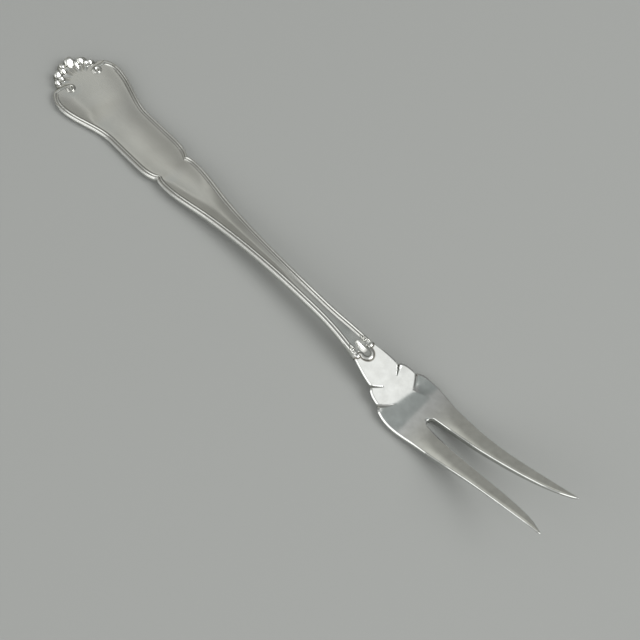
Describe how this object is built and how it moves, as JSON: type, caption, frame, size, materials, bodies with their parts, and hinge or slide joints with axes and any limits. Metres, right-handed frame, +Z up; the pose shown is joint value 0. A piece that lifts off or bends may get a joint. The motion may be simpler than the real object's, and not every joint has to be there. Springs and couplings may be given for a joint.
{
  "type": "cold meat fork",
  "caption": "Slim silver serving fork with a shell-ended, thread-bordered handle, a lobed neck drop, leaf-cut shoulders and long curved tines, for lifting sliced cold meat.",
  "frame": {"origin": "on the table, below the middle of the fork's length, on its line of symmetry", "axes": "+X along the fork towards the tines, +Y across it, +Z up out of the front face"},
  "size_m": [0.1556, 0.0174, 0.016],
  "materials": {
    "silver_satin": "worn satin silver, polished on the raised threads",
    "silver_polished": "hand-polished silver with fine wear marks",
    "silver_solder": "dull silver solder"
  },
  "bodies": {
    "root": {"handle": "silver_satin", "fork_head": "silver_polished", "neck_solder": "silver_solder"}
  },
  "joints": []
}
